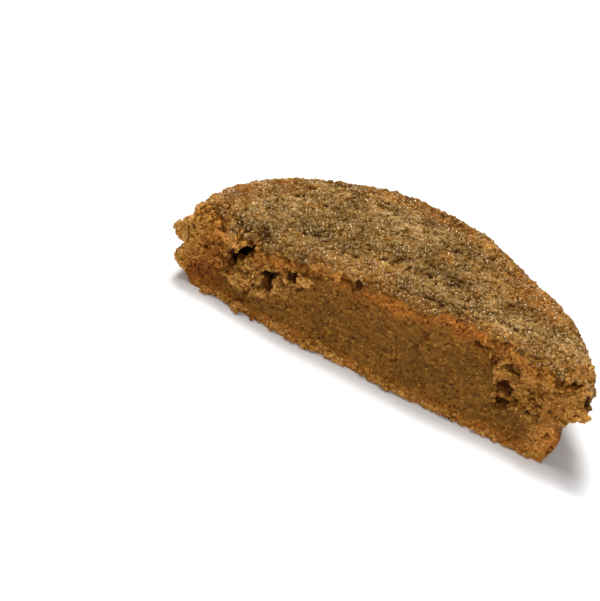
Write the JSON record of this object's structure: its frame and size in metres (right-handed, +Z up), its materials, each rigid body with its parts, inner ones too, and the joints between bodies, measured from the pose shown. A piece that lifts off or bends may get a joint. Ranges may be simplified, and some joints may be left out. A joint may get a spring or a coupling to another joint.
{
  "type": "half cinnamon cookie",
  "caption": "Half of a thick round cinnamon cookie with a tin-baked foot, an overhanging lip, a cinnamon sugar crust and a cut face.",
  "frame": {"origin": "middle of the half's footprint box, on the flat base it stands on", "axes": "+X along the cut, towards the thicker end; +Y from the cut towards the round rim; +Z up, from the base to the sugared top"},
  "size_m": [0.0758, 0.0396, 0.0182],
  "materials": {
    "baked_crumb": "dull dense baked crumb, browner towards base and rim",
    "cinnamon_sugar": "coarse sugar grains coated with cinnamon, small sparkles"
  },
  "bodies": {
    "root": {"cookie_half": "baked_crumb"}
  },
  "joints": []
}
